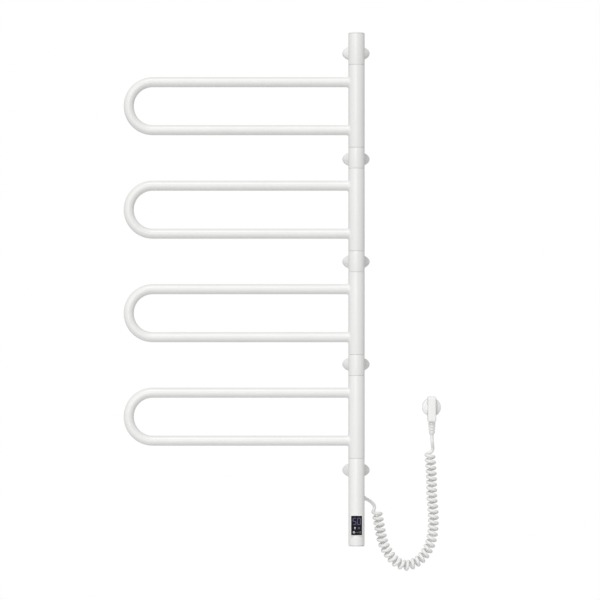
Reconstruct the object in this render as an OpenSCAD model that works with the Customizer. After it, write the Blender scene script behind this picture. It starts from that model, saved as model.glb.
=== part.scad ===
// Wall-mounted electric towel warmer: one round column with four swivelling U arms.
// Millimetres, +Z up. The wall is the plane y = 0 and the column stands in front of it at y < 0.
// The origin is the centre of the middle bracket's screw pattern, on the wall.

/* [Column] */
// Distance from the wall to the column's axis
axis_off = 65; // [64:0.5:75]
// Outside diameter of the swivelling sleeves and of the top tube
sleeve_d = 32.5; // [32.5:0.1:36]
// Outside diameter of the fixed collars
collar_d = 32.4; // [32.2:0.1:36]
// Outside diameter of the control housing
housing_d = 32.2; // [31.9:0.1:33]
// Wall thickness of the column's outer tubes
tube_wall = 1.8; // [1.2:0.1:2]
// Length of a swivelling sleeve from seam to seam
sleeve_len = 165; // [160:0.5:180]
// Length of a fixed collar from seam to seam
collar_len = 42; // [36:0.5:60]
// Length of the fixed top tube with its cap
top_len = 65.5; // [56:0.5:90]
// Length of the control housing with its cap
housing_len = 177; // [175:1:200]
// Width of the open joint line between two column pieces
seam = 0.8; // [0.8:0.1:1.2]
// Outside diameter of the mast that the sleeves turn on
mast_d = 24; // [23:0.5:24]
// Wall thickness of the mast
mast_wall = 1.5; // [1.2:0.1:2]

/* [Arms] */
// Outside diameter of an arm's tube
arm_d = 20; // [16:0.5:22]
// Wall thickness of an arm's tube
arm_wall = 1.5; // [1:0.1:2]
// Distance between the centre lines of an arm's two runs
run_gap = 96; // [80:1:100]
// Distance from the column's axis to an arm's outermost point
arm_reach = 465.5; // [300:0.5:500]
// Angle that an arm swings through, from the left side round the front to the right
swing = 180; // [90:5:180]
// Diameter of the heating cable inside an arm
heater_d = 5; // [4:0.5:6]

/* [Brackets] */
// Width of an oval rosette
rosette_w = 55; // [52:1:60]
// Height of an oval rosette
rosette_h = 31; // [30:1:36]
// Depth of a rosette from the wall
rosette_t = 12; // [11:0.5:16]
// Distance between the two wall screws of a bracket
screw_gap = 34; // [32:0.5:36]
// Diameter of a wall screw's hole
screw_hole_d = 5.2; // [4:0.1:5.5]
// Diameter of a bracket's post
post_d = 12; // [10:0.5:12]
// Distance from a column end's seam to its bracket
end_bracket = 27.5; // [22:0.5:30]

/* [Display] */
// Width of the display glass
glass_w = 21.7; // [20:0.1:21.8]
// Height of the display glass
glass_h = 38.7; // [32:0.1:38.8]
// Distance from the column's lower end to the middle of the display
display_up = 43; // [40:1:60]

/* [Cord and plug] */
// Diameter of the supply cord
cord_d = 6.6; // [5:0.1:7]
// Outside diameter of the curled stretch
curl_d = 22; // [20:0.5:24]
// Distance of the cord's exit above the column's lower end
exit_up = 105.5; // [104:0.5:112]
// Angle of the cord's exit behind the column's right side
exit_turn = 60; // [55:1:65]
// Angle of the cord's exit below the horizontal
exit_drop = 18; // [14:1:20]

/* [Hidden] */
$fn = 64;

WHITE = "#f1f1ee";
SHADE = "#d9d9d6";
STEEL = "#b8babd";
BLACK = "#101014";
GREEN = "#2f6b3c";

// Layout along the column, from the middle bracket
pitch = sleeve_len + collar_len;
end_seam = 2 * pitch - collar_len / 2;
top_z = end_seam + top_len;
bottom_z = -end_seam - housing_len;
bracket_z = [end_seam + end_bracket, pitch, 0, -pitch, -end_seam - end_bracket];
display_z = bottom_z + display_up;
exit_z = bottom_z + exit_up;

// Radii
sleeve_r = sleeve_d / 2;
collar_r = collar_d / 2;
housing_r = housing_d / 2;
mast_r = mast_d / 2;
arm_r = arm_d / 2;
post_r = post_d / 2;
bore_r = sleeve_r - tube_wall;
housing_bore_r = housing_r - tube_wall;

// Clearances
run_clear = 0.05;
press_clear = 0.03;
face_clear = 0.02;

// Column details
top_cap_t = 3.2;
top_cap_side = 1.6;
bottom_cap_t = 3.2;
bottom_cap_side = 2.6;
spigot_t = 1.5;
spigot_len = 8;
ring_t = 6;
bracket_ring_t = 16;
mast_over = 12;
stud_r = 4;
stud_clear = 0.1;
bush_len = 16;
flange_t = 0.5;
key_w = 3;
key_t = 4;
key_depth = 1.1;
slot_over = 11;
window_h = 24;
port_r = 6;

// Bracket details
plate_inset = 3;
plate_t = 3;
boss_r = 9;
boss_len = 10;
boss_floor = 2;
grub_r = 2;
rosette_wall = 1.5;
edge_step = 1.2;
edge_depth = 2.5;
bracket_r = [sleeve_r, collar_r, collar_r, collar_r, housing_r];

// Display details: depths are distances in front of the column's axis
bezel_rim = 0.9;
bezel_front = 16.6;
bezel_back = 10.6;
glass_front = 16.4;
glass_t = 1.4;
glass_clear = 0.1;
neck_w = 18.8;
neck_h = 39.7;
neck_wall = 0.9;
neck_clear = 0.1;

// Supply cord: the curl's route is its centre line, and every point is [x, y, z]
gland_root = 9;
gland_shoulder = 19;
gland_nose = 38;
gland_r = cord_d / 2 + 1.9;
gland_nose_r = cord_d / 2 + 0.9;
gland_flange = 1.6;
gland_flange_t = 3;
cord_bore = cord_d / 2 + 0.15;
exit_dir = [cos(exit_drop) * cos(exit_turn), cos(exit_drop) * sin(exit_turn), -sin(exit_drop)];
exit_foot = [0, -axis_off, exit_z];
lead_route = [
    exit_foot + 14 * exit_dir, exit_foot + gland_nose * exit_dir,
    [21.3, -29.5, -478], [24.9, -26.4, -480.3], [29, -24, -483.3], [32.5, -22.2, -486],
    [35.5, -21, -489], [37.2, -20.4, -492], [37, -20.2, -496], [35.5, -20.2, -499]
];
curl_route = [
    [42, -20.5, -505.5], [44, -20.5, -516.5], [47, -20.5, -532.5], [50, -20.5, -548.5],
    [54, -20.5, -565], [61.5, -20.5, -581], [72, -20.5, -596], [84.5, -20.5, -606.5],
    [100, -20.5, -611.5], [116, -20.5, -607.5], [129.5, -20.5, -598.5], [140.5, -20.5, -585.5],
    [148, -20.5, -571], [152, -20.5, -556.5], [154.5, -20.5, -542], [155.5, -20.5, -519.5],
    [154.5, -20.5, -497], [152.5, -20.5, -474.5], [152, -20.5, -452.5], [151.5, -20.5, -429.5],
    [150, -20.5, -407.5], [148, -20.5, -385.5]
];
tail_route = [
    [155.6, -20.4, -379], [154.8, -20.4, -374.5], [153.8, -20.3, -369], [153, -20.2, -362],
    [152.6, -20, -355], [152.5, -20, -349]
];
// Every stretch starts and ends with a straight piece this long, square to what it meets
end_len = 3;
// The curl hangs in a plane parallel to the wall, and this is the direction across it
across = [0, 1, 0];
DOWN = [0, 0, -1];
cord_sides = 12;

// Angled plug with two round pins, on a pin line along X
plug_at = [152.5, 7.5, -293.5];
plug_base_r = 18.8;
plug_base_t = 17;
grip_w = 17;
grip_front = -33;
grip_top = 21.7;
grip_bottom = -29;
cord_y = -20;
relief_len = 25.5;
relief_root_r = 5;
relief_root_len = 6;
relief_core_r = 4.8;
relief_rib_r = 7.3;
relief_rib_step = 0.35;
relief_rib_len = 3.7;
relief_rib_pitch = 5.5;
pin_r = 2.4;
pin_len = 19;
pin_gap = 19;
pin_root_r = 1.8;
pin_root_len = 8;

// Sub-functions: an ellipse, a smooth curve through points, and a tube along a curve
function ellipse(a, b, n = 72) = [for (i = [0:n - 1]) [a * cos(360 * i / n), b * sin(360 * i / n)]];
function unit(v) = v / norm(v);
function spline_at(a, b, c, d, t) =
    0.5 * (2 * b + (c - a) * t + (2 * a - 5 * b + 4 * c - d) * t * t
    + (3 * b - 3 * c + d - a) * t * t * t);
function smooth(p, steps) = [
    for (i = [0:len(p) - 2])
        for (s = [0:steps - 1])
            spline_at(p[max(i - 1, 0)], p[i], p[i + 1], p[min(i + 2, len(p) - 1)], s / steps),
    p[len(p) - 1]
];
function squared(p, start, end) =
    concat([p[0] - end_len * start], p, [p[len(p) - 1] + end_len * end]);
function tangent(p, i) = unit(p[min(i + 1, len(p) - 1)] - p[max(i - 1, 0)]);
function ring(centre, dir, r, n) =
    let (side = unit(cross(dir, across)), up = cross(side, dir))
    [for (k = [0:n - 1]) centre + r * (cos(360 * k / n) * side + sin(360 * k / n) * up)];

module swept_tube(route, r, n) {
    last = len(route) - 1;
    rings = [for (i = [0:last]) each ring(route[i], tangent(route, i), r, n)];
    sides = [
        for (i = [0:last - 1])
            for (k = [0:n - 1])
                [i * n + k, i * n + (k + 1) % n, (i + 1) * n + (k + 1) % n, (i + 1) * n + k]
    ];
    start_cap = [for (k = [n - 1:-1:0]) k];
    end_cap = [for (k = [0:n - 1]) last * n + k];
    polyhedron(points = rings, faces = concat(sides, [start_cap, end_cap]));
}

// A tube round the column's axis from z0 to z1
module column_tube(r_out, r_in, z0, z1) {
    translate([0, -axis_off, z0])
        difference() {
            cylinder(r = r_out, h = z1 - z0);
            translate([0, 0, -1])
                cylinder(r = r_in, h = z1 - z0 + 2);
        }
}

// A round hole or bar from radius r0 to r1 behind the column's axis, towards the wall
module to_wall(r, r0, r1, z) {
    translate([0, -axis_off + r0, z])
        rotate([-90, 0, 0])
            cylinder(r = r, h = r1 - r0);
}

// A window in the mast over an arm's swing
module swing_slot(z, h) {
    translate([0, -axis_off, z - h / 2])
        rotate([0, 0, 180 - slot_over])
            rotate_extrude(angle = swing + 2 * slot_over)
                translate([mast_r - mast_wall - 1, 0])
                    square([mast_wall + 2, h]);
}

function sleeve_z(i) = (2.5 - i) * pitch;
function key_z(i) = sleeve_z(i) + sleeve_len / 2 - bush_len / 2;

module mast() {
    reach = end_seam + end_bracket + mast_over;
    color(STEEL)
        difference() {
            column_tube(mast_r, mast_r - mast_wall, -reach, reach);
            for (z = bracket_z)
                to_wall(stud_r + stud_clear, 5, mast_r + 2, z);
            for (i = [1:4]) {
                swing_slot(sleeve_z(i), window_h);
                swing_slot(key_z(i), key_t + 1);
            }
        }
}

module spacer_ring(r_out, z, h) {
    difference() {
        column_tube(r_out - press_clear, mast_r + press_clear, z - h / 2, z + h / 2);
        for (at = bracket_z)
            to_wall(stud_r + stud_clear, 5, r_out + 1, at);
    }
}

module spacer_rings() {
    seam_z = end_seam + seam + ring_t;
    color(SHADE) {
        spacer_ring(bore_r, bracket_z[0], bracket_ring_t);
        spacer_ring(bore_r, seam_z, ring_t);
        spacer_ring(housing_bore_r, bracket_z[4], bracket_ring_t);
        spacer_ring(housing_bore_r, -seam_z, ring_t);
    }
}

module top_tube() {
    color(WHITE)
        difference() {
            column_tube(sleeve_r, bore_r, end_seam + seam / 2, top_z - top_cap_t);
            to_wall(stud_r + stud_clear, 5, sleeve_r + 1, bracket_z[0]);
        }
}

// A push-in cap, pointing up: a crown t high with a straight side and a dome, on a hollow spigot
module cap(r_crown, r_bore, side, t) {
    r_spigot = r_bore - press_clear;
    rotate_extrude()
        polygon([
            [0, -1], [r_spigot - spigot_t, -1], [r_spigot - spigot_t, -spigot_len],
            [r_spigot, -spigot_len], [r_spigot, 0.2], [r_crown, 0.2],
            for (f = [1, 0.92, 0.8, 0.6, 0.35, 0]) [f * r_crown, side + (t - side) * (1 - f * f)]
        ]);
}

module top_cap() {
    color(WHITE)
        translate([0, -axis_off, top_z - top_cap_t])
            cap(sleeve_r - 0.5, bore_r, top_cap_side, top_cap_t);
}

module bottom_cap() {
    color(WHITE)
        translate([0, -axis_off, bottom_z + bottom_cap_t])
            rotate([180, 0, 0])
                cap(housing_r - 0.5, housing_bore_r, bottom_cap_side, bottom_cap_t);
}

module collar(i) {
    z = bracket_z[i];
    half = (collar_len - seam) / 2;
    color(WHITE)
        difference() {
            column_tube(collar_r, mast_r + press_clear, z - half, z + half);
            to_wall(stud_r + stud_clear, 5, collar_r + 1, z);
        }
}

// The gland's direction as a frame: local +Z runs outwards along the cord's exit
module at_exit() {
    translate(exit_foot)
        rotate([0, 0, exit_turn])
            rotate([0, 90 + exit_drop, 0])
                children();
}

module control_housing() {
    color(WHITE)
        difference() {
            column_tube(housing_r, housing_bore_r, bottom_z + bottom_cap_t, -end_seam - seam / 2);
            to_wall(stud_r + stud_clear, 5, housing_r + 1, bracket_z[4]);
            at_exit()
                cylinder(r = gland_r + 0.1, h = gland_nose);
            front_block(neck_w + 2 * neck_clear, neck_h + 2 * neck_clear, 1, housing_r + 1);
        }
}

// Brackets: a screwed wall plate with a boss, a post held in it by a grub screw, and a cover
module oval_prism(w, h, y0, y1) {
    translate([0, y0, 0])
        rotate([90, 0, 0])
            linear_extrude(height = y0 - y1)
                polygon(ellipse(w / 2, h / 2));
}

module wall_plate(z) {
    color(STEEL)
        translate([0, 0, z])
            difference() {
                union() {
                    oval_prism(rosette_w - 2 * plate_inset, rosette_h - 2 * plate_inset, 0, -plate_t);
                    rotate([90, 0, 0])
                        cylinder(r = boss_r, h = boss_len);
                }
                translate([0, -boss_floor, 0])
                    rotate([90, 0, 0])
                        cylinder(r = post_r + press_clear, h = boss_len);
                translate([0, -(plate_t + boss_len) / 2, -boss_r - 1])
                    cylinder(r = grub_r + press_clear, h = boss_r);
                for (side = [-1, 1])
                    translate([side * screw_gap / 2, 1, 0])
                        rotate([90, 0, 0])
                            cylinder(r = screw_hole_d / 2, h = plate_t + 2);
            }
}

module post(z, r_column) {
    back = -boss_floor - press_clear;
    color(WHITE)
        union() {
            difference() {
                translate([0, back, z])
                    rotate([90, 0, 0])
                        cylinder(r = post_r, h = axis_off + back - mast_r);
                translate([0, -axis_off, z - 2 * post_r])
                    cylinder(r = r_column + face_clear, h = 4 * post_r);
            }
            to_wall(stud_r, mast_r - mast_wall + 0.5, r_column + 3, z);
        }
}

module rosette(z) {
    cavity = rosette_t - rosette_wall;
    color(WHITE)
        translate([0, 0, z])
            difference() {
                union() {
                    oval_prism(rosette_w, rosette_h, 0, edge_depth - rosette_t);
                    oval_prism(
                        rosette_w - 2 * edge_step, rosette_h - 2 * edge_step, -edge_depth, -rosette_t
                    );
                }
                oval_prism(rosette_w - 4 * edge_step, rosette_h - 4 * edge_step, 1, -cavity);
                rotate([90, 0, 0])
                    cylinder(r = post_r + 0.1, h = rosette_t + 1);
            }
}

module grub_screws() {
    color(STEEL)
        for (z = bracket_z)
            translate([0, -(plate_t + boss_len) / 2, z - boss_r])
                cylinder(r = grub_r, h = boss_r - post_r - face_clear);
}

// Swivelling arms: a sleeve with bushes, a U tube welded to it, and the heating cable
module sleeve(i) {
    z = sleeve_z(i);
    half = (sleeve_len - seam) / 2;
    color(WHITE)
        difference() {
            column_tube(sleeve_r, bore_r, z - half, z + half);
            for (side = [-1, 1])
                translate([0, -axis_off, z + side * run_gap / 2])
                    rotate([0, -90, 0])
                        cylinder(r = port_r, h = sleeve_r + 1);
        }
}

// A U in the plane of the arm: two straight runs from x = -inner and a half-turn bend
module hairpin(r_out, r_in, inner) {
    bend = run_gap / 2;
    bend_x = arm_reach - bend - arm_r;
    for (side = [-1, 1])
        translate([-bend_x, 0, side * bend])
            rotate([0, 90, 0])
                difference() {
                    cylinder(r = r_out, h = bend_x - inner);
                    if (r_in > 0)
                        translate([0, 0, -1])
                            cylinder(r = r_in, h = bend_x - inner + 2);
                }
    translate([-bend_x, 0, 0])
        rotate([90, 0, 0])
            rotate([0, 0, 90])
                rotate_extrude(angle = 180)
                    translate([bend, 0])
                        difference() {
                            circle(r = r_out);
                            if (r_in > 0)
                                circle(r = r_in);
                        }
}

module arm_tube(i) {
    color(WHITE)
        translate([0, -axis_off, sleeve_z(i)])
            difference() {
                hairpin(arm_r, arm_r - arm_wall, mast_r);
                cylinder(r = sleeve_r + face_clear, h = 2 * run_gap, center = true);
            }
}

module heating_cable(i) {
    color(SHADE)
        translate([0, -axis_off, sleeve_z(i)])
            hairpin(heater_d / 2, 0, mast_r + 1.5);
}

// A flanged bush, flange at the top, its bore running on the mast
module bush() {
    r_bore = mast_r + run_clear;
    difference() {
        union() {
            translate([0, 0, -bush_len])
                cylinder(r = bore_r - press_clear, h = bush_len);
            cylinder(r = sleeve_r - 0.5, h = flange_t);
        }
        translate([0, 0, -bush_len - 1])
            cylinder(r = r_bore, h = bush_len + flange_t + 2);
    }
}

module bushes(i) {
    half = (sleeve_len - seam) / 2;
    color(SHADE)
        translate([0, -axis_off, sleeve_z(i)]) {
            translate([0, 0, half])
                bush();
            translate([0, 0, -half])
                rotate([180, 0, 0])
                    bush();
            // the stop key, which travels in the mast's half-turn slot
            translate([-mast_r - 1, -key_w / 2, key_z(i) - sleeve_z(i) - key_t / 2])
                cube([1 + key_depth, key_w, key_t]);
        }
}

// Display and electronics in the control housing; local y counts from the column's axis
module front_block(w, h, depth0, depth1) {
    translate([-w / 2, -axis_off - depth1, display_z - h / 2])
        cube([w, depth1 - depth0, h]);
}

module display_bezel() {
    w = glass_w + 2 * bezel_rim;
    h = glass_h + 2 * bezel_rim;
    color(WHITE)
        difference() {
            union() {
                difference() {
                    front_block(w, h, bezel_back, bezel_front);
                    translate([0, -axis_off, display_z - h])
                        cylinder(r = housing_r + face_clear, h = 2 * h);
                }
                front_block(neck_w, neck_h, bezel_back, bezel_front - 0.1);
            }
            front_block(
                glass_w + 2 * glass_clear, glass_h + 2 * glass_clear,
                glass_front - glass_t - glass_clear, bezel_front + 1
            );
            front_block(neck_w - 2 * neck_wall, neck_h - 2 * neck_wall, bezel_back - 1, bezel_front);
        }
}

module display_glass() {
    color(BLACK)
        front_block(glass_w, glass_h, glass_front - glass_t, glass_front);
}

module display_board() {
    color(GREEN)
        union() {
            front_block(neck_w - 2 * neck_wall - 0.4, neck_h - 2 * neck_wall - 0.4, 11.2, 12.8);
            translate([0, 0, 9])
                front_block(15, 13, 12.7, 14.8);
        }
}

module control_board() {
    color(GREEN)
        translate([-11, -axis_off, bottom_z + 19])
            cube([22, 1.6, 62]);
}

module relay() {
    color(BLACK)
        translate([-7.5, -axis_off - 8, bottom_z + 25])
            cube([15, 7.95, 20]);
}

module terminal_block() {
    color(SHADE)
        translate([-9, -axis_off + 1.65, bottom_z + 59])
            cube([18, 8, 16]);
}

module wiring_harness() {
    foot = bottom_z + 83;
    color(SHADE)
        translate([0, -axis_off, foot])
            cylinder(r = 4, h = sleeve_z(1) - foot);
}

module cord_gland() {
    color(WHITE)
        at_exit()
            difference() {
                union() {
                    translate([0, 0, gland_root])
                        cylinder(r = gland_r, h = gland_shoulder - gland_root);
                    translate([0, 0, gland_shoulder])
                        cylinder(r1 = gland_r, r2 = gland_nose_r, h = gland_nose - gland_shoulder);
                    translate([0, 0, gland_root])
                        cylinder(r = gland_r + gland_flange, h = gland_flange_t);
                }
                cylinder(r = cord_bore, h = gland_nose + 1);
            }
}

// Supply cord: two plain stretches and the curled stretch as its outer shape
module cord_lead() {
    color(WHITE)
        swept_tube(squared(smooth(lead_route, 2), exit_dir, DOWN), cord_d / 2, cord_sides);
}

module cord_curl() {
    color(SHADE)
        swept_tube(squared(smooth(curl_route, 2), DOWN, -DOWN), curl_d / 2, cord_sides);
}

module cord_tail() {
    color(WHITE)
        swept_tube(squared(smooth(tail_route, 2), -DOWN, -DOWN), cord_d / 2, cord_sides);
}

// Plug: a round base that enters the socket, and a flat vertical grip with the cord at its foot
module plug_block(w, y0, y1, z0, z1) {
    translate([-w / 2, y1, z0])
        cube([w, y0 - y1, z1 - z0]);
}

module plug_body() {
    face = plug_at[1];
    rim = face - plug_base_t;
    color(WHITE)
        translate([plug_at[0], 0, plug_at[2]])
            difference() {
                union() {
                    translate([0, face, 0])
                        rotate([90, 0, 0])
                            cylinder(r = plug_base_r, h = plug_base_t);
                    translate([0, rim, 0])
                        rotate([90, 0, 0])
                            cylinder(r1 = plug_base_r, r2 = plug_base_r - 4, h = 4);
                    plug_block(grip_w, rim + 1, grip_front, grip_bottom, grip_top);
                }
                for (side = [-1, 1]) {
                    translate([side * pin_gap / 2, face + 1, 0])
                        rotate([90, 0, 0])
                            cylinder(r = pin_root_r + press_clear, h = pin_root_len + 1);
                    translate([side * plug_base_r, 0, 0])
                        plug_block(5, face + 1, rim + 2, -2.5, 2.5);
                    translate([0, 0, side * plug_base_r])
                        plug_block(7, face + 1, rim + 3, -2.2, 2.2);
                }
                translate([0, cord_y, grip_bottom - 1])
                    cylinder(r = relief_root_r + press_clear, h = relief_root_len + 1);
            }
}

module plug_relief() {
    ribbed = 4 * relief_rib_pitch - relief_rib_len;
    color(WHITE)
        translate([plug_at[0], cord_y, plug_at[2] + grip_bottom])
            difference() {
                union() {
                    cylinder(r = relief_root_r, h = relief_root_len);
                    for (step = [0:2])
                        translate([0, 0, -relief_rib_pitch * (step + 1)])
                            cylinder(r = relief_rib_r - relief_rib_step * step, h = relief_rib_len);
                    translate([0, 0, -ribbed])
                        cylinder(r = relief_core_r, h = ribbed + 1);
                    translate([0, 0, -relief_len])
                        cylinder(r1 = 4.4, r2 = 6.2, h = relief_len - ribbed);
                }
                translate([0, 0, -relief_len - 1])
                    cylinder(r = cord_bore, h = 5.2);
            }
}

module plug_pins() {
    color(STEEL)
        for (side = [-1, 1])
            translate([plug_at[0] + side * pin_gap / 2, plug_at[1], plug_at[2]])
                rotate([-90, 0, 0])
                    union() {
                        translate([0, 0, -pin_root_len])
                            cylinder(r = pin_root_r, h = pin_root_len + 0.5);
                        cylinder(r = pin_r, h = pin_len - 1);
                        translate([0, 0, pin_len - 1])
                            cylinder(r1 = pin_r, r2 = pin_r - 0.9, h = 1);
                    }
}

module earth_contacts() {
    color(STEEL)
        translate([plug_at[0], 0, plug_at[2]])
            for (side = [-1, 1])
                translate([0, 0, side * (plug_base_r - 1.4)])
                    plug_block(6, plug_at[1] - 0.5, plug_at[1] - plug_base_t + 3.2, -0.6, 0.6);
}

mast();
spacer_rings();
top_tube();
top_cap();
collar(1);  // collar_1
collar(2);  // collar_2
collar(3);  // collar_3
control_housing();
bottom_cap();
wall_plate(bracket_z[0]);  // wall_plate_1
wall_plate(bracket_z[1]);  // wall_plate_2
wall_plate(bracket_z[2]);  // wall_plate_3
wall_plate(bracket_z[3]);  // wall_plate_4
wall_plate(bracket_z[4]);  // wall_plate_5
post(bracket_z[0], bracket_r[0]);  // post_1
post(bracket_z[1], bracket_r[1]);  // post_2
post(bracket_z[2], bracket_r[2]);  // post_3
post(bracket_z[3], bracket_r[3]);  // post_4
post(bracket_z[4], bracket_r[4]);  // post_5
rosette(bracket_z[0]);  // rosette_1
rosette(bracket_z[1]);  // rosette_2
rosette(bracket_z[2]);  // rosette_3
rosette(bracket_z[3]);  // rosette_4
rosette(bracket_z[4]);  // rosette_5
grub_screws();
sleeve(1);  // sleeve_1
sleeve(2);  // sleeve_2
sleeve(3);  // sleeve_3
sleeve(4);  // sleeve_4
arm_tube(1);  // arm_tube_1
arm_tube(2);  // arm_tube_2
arm_tube(3);  // arm_tube_3
arm_tube(4);  // arm_tube_4
heating_cable(1);  // heating_cable_1
heating_cable(2);  // heating_cable_2
heating_cable(3);  // heating_cable_3
heating_cable(4);  // heating_cable_4
bushes(1);  // bushes_1
bushes(2);  // bushes_2
bushes(3);  // bushes_3
bushes(4);  // bushes_4
display_bezel();
display_glass();
display_board();
control_board();
relay();
terminal_block();
wiring_harness();
cord_gland();
cord_lead();
cord_curl();
cord_tail();
plug_body();
plug_relief();
plug_pins();
earth_contacts();
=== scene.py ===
"""Looks for the wall-mounted towel warmer: one round column, four swivelling U arms, five
wall brackets, a touch display, and a curly cord with an angled plug.

Millimetres in the piece builders, metres in Blender. +Z is up, the wall is y = 0, and the
column stands in front of it at y < 0.
"""
import math

import bmesh
import bpy
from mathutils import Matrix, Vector


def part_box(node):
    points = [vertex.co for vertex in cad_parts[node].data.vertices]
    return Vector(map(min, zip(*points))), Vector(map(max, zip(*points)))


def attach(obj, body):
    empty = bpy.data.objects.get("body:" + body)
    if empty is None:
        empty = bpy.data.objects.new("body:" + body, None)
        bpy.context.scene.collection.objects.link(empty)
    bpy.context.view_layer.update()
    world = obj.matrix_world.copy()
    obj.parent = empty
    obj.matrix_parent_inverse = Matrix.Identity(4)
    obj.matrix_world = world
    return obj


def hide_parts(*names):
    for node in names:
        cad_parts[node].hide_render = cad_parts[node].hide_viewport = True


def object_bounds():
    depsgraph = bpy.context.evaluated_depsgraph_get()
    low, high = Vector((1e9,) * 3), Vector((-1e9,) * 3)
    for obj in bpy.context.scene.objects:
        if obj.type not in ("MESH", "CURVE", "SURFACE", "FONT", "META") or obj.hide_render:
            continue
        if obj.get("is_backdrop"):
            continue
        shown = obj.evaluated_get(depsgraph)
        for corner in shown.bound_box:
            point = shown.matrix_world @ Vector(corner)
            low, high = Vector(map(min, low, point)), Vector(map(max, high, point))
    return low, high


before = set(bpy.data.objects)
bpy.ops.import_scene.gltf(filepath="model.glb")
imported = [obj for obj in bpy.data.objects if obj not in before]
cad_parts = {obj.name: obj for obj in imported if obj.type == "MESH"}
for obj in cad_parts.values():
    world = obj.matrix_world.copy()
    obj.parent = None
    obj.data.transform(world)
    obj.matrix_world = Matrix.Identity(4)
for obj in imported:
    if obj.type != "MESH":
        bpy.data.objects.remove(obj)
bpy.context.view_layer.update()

MM = 0.001
TURN = 2 * math.pi


def box_mm(node):
    """A CAD node's lowest and highest corners at rest, in millimetres."""
    lo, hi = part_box(node)
    return lo / MM, hi / MM


# ---------------------------------------------------------------- camera
CAMERA_AT = (-0.113, -6.665, -0.0771)
CAMERA_LENS = 198

camera = bpy.data.objects.new("camera", bpy.data.cameras.new("camera"))
bpy.context.collection.objects.link(camera)
camera.location = CAMERA_AT
camera.rotation_euler = (math.pi / 2, 0, 0)
camera.data.lens = CAMERA_LENS
camera.data.sensor_width = 36
bpy.context.scene.camera = camera

# ---------------------------------------------------------------- facts about the object
mast_lo, mast_hi = box_mm("mast")
AXIS_Y = (mast_lo.y + mast_hi.y) / 2
SLEEVE_R = (box_mm("sleeve_1")[1].x - box_mm("sleeve_1")[0].x) / 2
COLLAR_R = (box_mm("collar_1")[1].x - box_mm("collar_1")[0].x) / 2
HOUSING_R = (box_mm("control_housing")[1].x - box_mm("control_housing")[0].x) / 2
TUBE_WALL = 1.8
ARM_R = (box_mm("arm_tube_1")[1].y - box_mm("arm_tube_1")[0].y) / 2
ARM_WALL = 1.5
POST_R = 6.0
# The film of air between a piece's shaped end and the tube that the end sits on
SEAT_GAP = 0.02

# The supply cord's route, point for point as the CAD has it
CORD_D = 6.6
CURL_R = 7.75
CURL_TURNS = 35
POINTS_PER_TURN = 24
EXIT_TURN = math.radians(60)
EXIT_DROP = math.radians(18)
EXIT_DIR = Vector((
    math.cos(EXIT_DROP) * math.cos(EXIT_TURN),
    math.cos(EXIT_DROP) * math.sin(EXIT_TURN),
    -math.sin(EXIT_DROP),
))
EXIT_FOOT = Vector((0, AXIS_Y, -464.5))
# Distances along the exit line: the cord's first two points, and the gland's step and nose
CORD_START = (24, 31)
GLAND_SHOULDER = 19
GLAND_NOSE = 38
LEAD_ROUTE = [
    (21.4, -28.2, -477.6), (25.2, -23.5, -480), (29.1, -19.6, -483), (32.6, -16.8, -486),
    (35.6, -15, -489.3), (37.4, -13.8, -493.3), (36.8, -13.4, -497.2),
]
CURL_ROUTE = [
    (41.6, -20.5, -503.4), (44, -20.5, -516.5), (47, -20.5, -532.5), (50, -20.5, -548.5),
    (54, -20.5, -565), (61.5, -20.5, -581), (72, -20.5, -596), (84.5, -20.5, -606.5),
    (100, -20.5, -611.5), (116, -20.5, -607.5), (129.5, -20.5, -598.5), (140.5, -20.5, -585.5),
    (148, -20.5, -571), (152, -20.5, -556.5), (154.5, -20.5, -542), (155.5, -20.5, -519.5),
    (154.5, -20.5, -497), (152.5, -20.5, -474.5), (152, -20.5, -452.5), (151.5, -20.5, -429.5),
    (150, -20.5, -407.5), (148, -20.5, -385.5), (147.6, -20.5, -383),
]
TAIL_ROUTE = [
    (154.6, -14.4, -373.5), (153.7, -18.1, -368.5), (153, -20.4, -362), (152.6, -20, -355),
    (152.5, -20, -349), (152.5, -20, -344.5),
]


# ---------------------------------------------------------------- curves through points
def spline(points, step):
    """A Catmull-Rom curve through the points, sampled about every step millimetres."""
    p = [Vector(q) for q in points]
    out = []
    for i in range(len(p) - 1):
        a, b, c, d = p[max(i - 1, 0)], p[i], p[i + 1], p[min(i + 2, len(p) - 1)]
        count = max(1, round((c - b).length / step))
        for s in range(count):
            t = s / count
            out.append(0.5 * (2 * b + (c - a) * t + (2 * a - 5 * b + 4 * c - d) * t * t
                              + (3 * b - 3 * c + d - a) * t ** 3))
    out.append(p[-1])
    return out


def length_of(points):
    return sum((b - a).length for a, b in zip(points, points[1:]))


def resampled(points, count):
    """The same polyline with count + 1 evenly spaced points, and each point's direction."""
    total = length_of(points)
    out, at, i = [], 0.0, 0
    for k in range(count + 1):
        target = total * k / count
        while i < len(points) - 2 and at + (points[i + 1] - points[i]).length < target:
            at += (points[i + 1] - points[i]).length
            i += 1
        seg = points[i + 1] - points[i]
        out.append(points[i] + seg * min(1.0, (target - at) / seg.length))
    dirs = [(out[min(k + 3, count)] - out[max(k - 3, 0)]).normalized() for k in range(count + 1)]
    return out, dirs


BRIDGE_STEP = 1.2
BRIDGE_PULL = 1.28


def bridge(before, after):
    """Points of a smooth passage between the ends of two lines, tangent to both."""
    a, b = before[-1], after[0]
    pull = (b - a).length * BRIDGE_PULL
    ta = (a - before[-2]).normalized() * pull
    tb = (after[1] - b).normalized() * pull
    count = max(2, round((b - a).length / BRIDGE_STEP))
    out = []
    for s in range(1, count):
        t = s / count
        out.append((2 * t ** 3 - 3 * t ** 2 + 1) * a + (t ** 3 - 2 * t ** 2 + t) * ta
                   + (3 * t ** 2 - 2 * t ** 3) * b + (t ** 3 - t ** 2) * tb)
    return out


EASE_FADE = 14
EASE_PASSES = 6


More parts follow.
